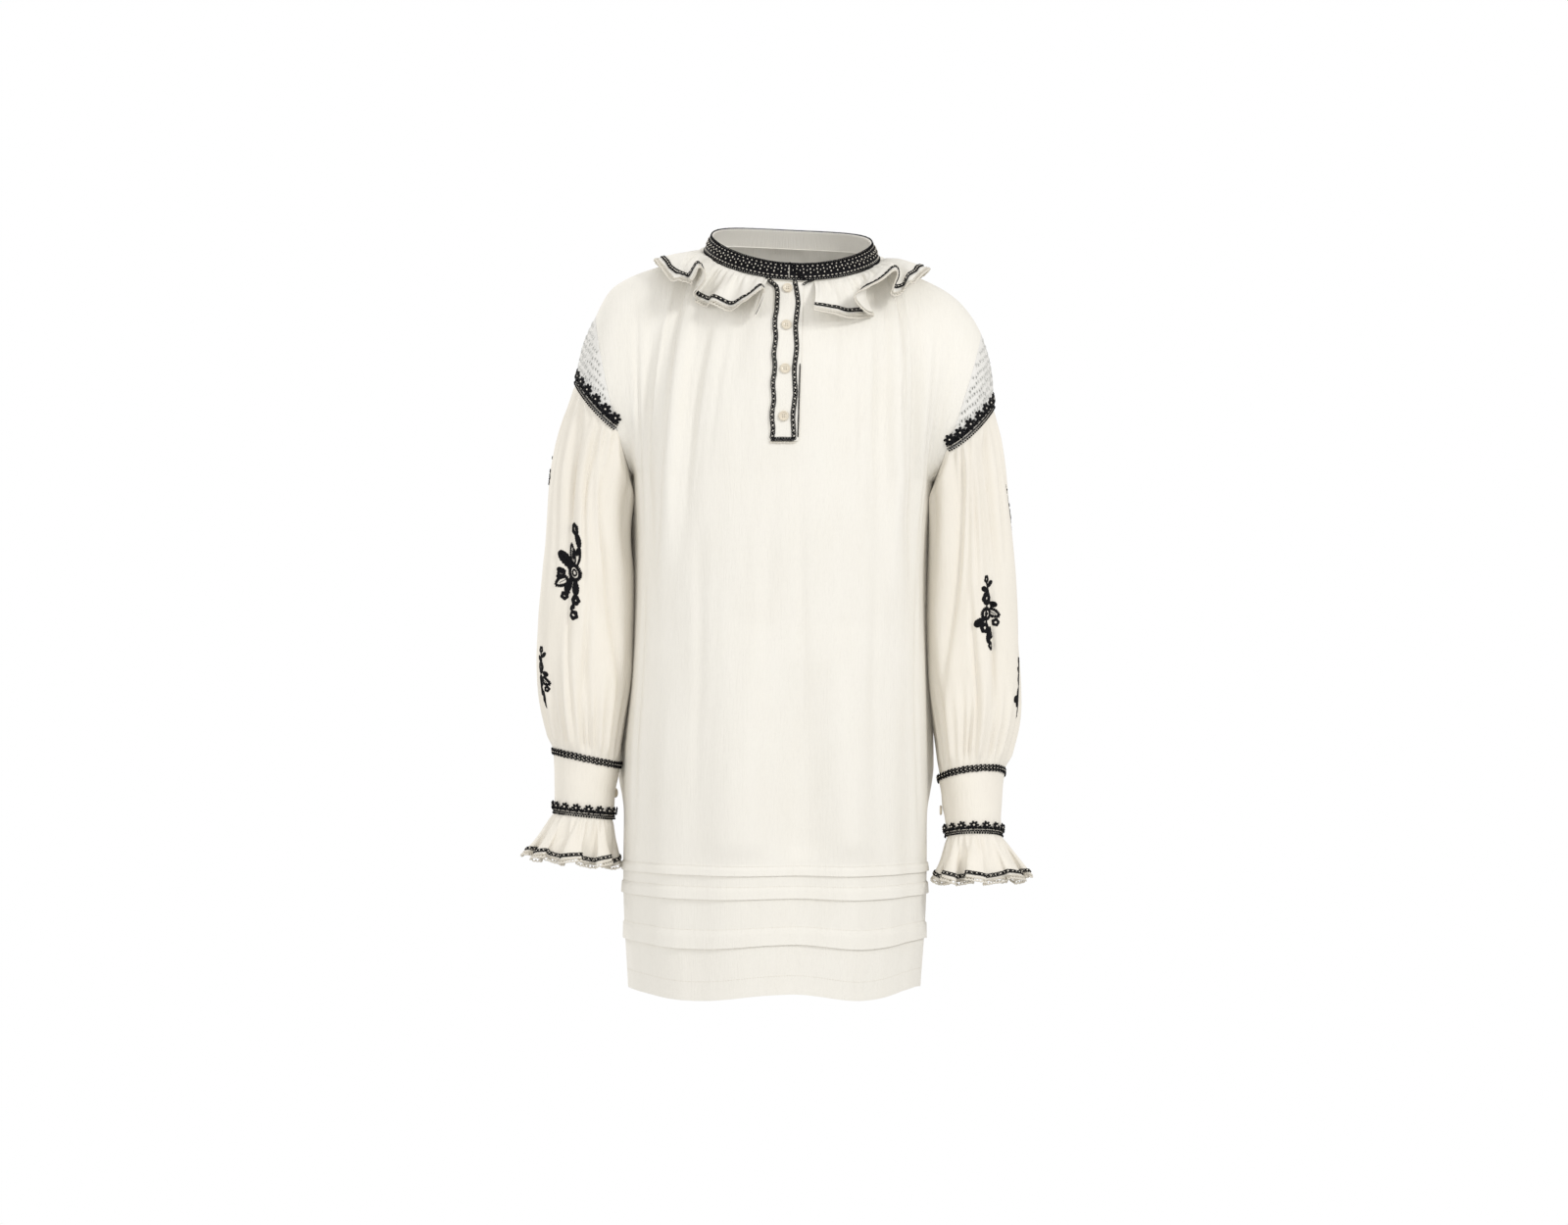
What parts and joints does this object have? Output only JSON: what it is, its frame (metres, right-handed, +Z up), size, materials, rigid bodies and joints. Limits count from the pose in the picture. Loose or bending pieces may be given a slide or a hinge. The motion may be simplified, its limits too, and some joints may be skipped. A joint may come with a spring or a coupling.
{
  "type": "embroidered peasant tunic",
  "caption": "Hollow long-sleeved tunic with a gathered neck frill, buttoned placket, lace shoulder caps, full sleeves, deep cuffs with frills, and tucks above the hem.",
  "frame": {"origin": "where the wearer's neck meets the line of the shoulders, in the middle of the neck opening from left to right in the picture", "axes": "+Z up, -Y the garment's front, +X the viewer's right, which is the wearer's left"},
  "size_m": [0.571, 0.2561, 0.8768],
  "materials": {
    "cotton": "crinkled cotton gauze",
    "lace": "white eyelet net",
    "black_thread": "black embroidery thread",
    "shell": "pale shell-like button"
  },
  "bodies": {
    "root": {"front": "cotton", "back": "cotton", "neck_band": "black_thread", "neck_frill": "cotton", "placket": "cotton", "placket_braid": "black_thread", "button_1": "shell", "button_2": "shell", "button_3": "shell", "button_4": "shell", "lace_cap_left": "lace", "shoulder_braid_left": "black_thread", "sleeve_left": "cotton", "cuff_left": "cotton", "cuff_top_braid_left": "black_thread", "cuff_scallop_left": "black_thread", "cuff_frill_left": "cotton", "cuff_button_left": "shell", "lace_cap_right": "lace", "shoulder_braid_right": "black_thread", "sleeve_right": "cotton", "cuff_right": "cotton", "cuff_top_braid_right": "black_thread", "cuff_scallop_right": "black_thread", "cuff_frill_right": "cotton", "cuff_button_right": "shell"}
  },
  "joints": []
}
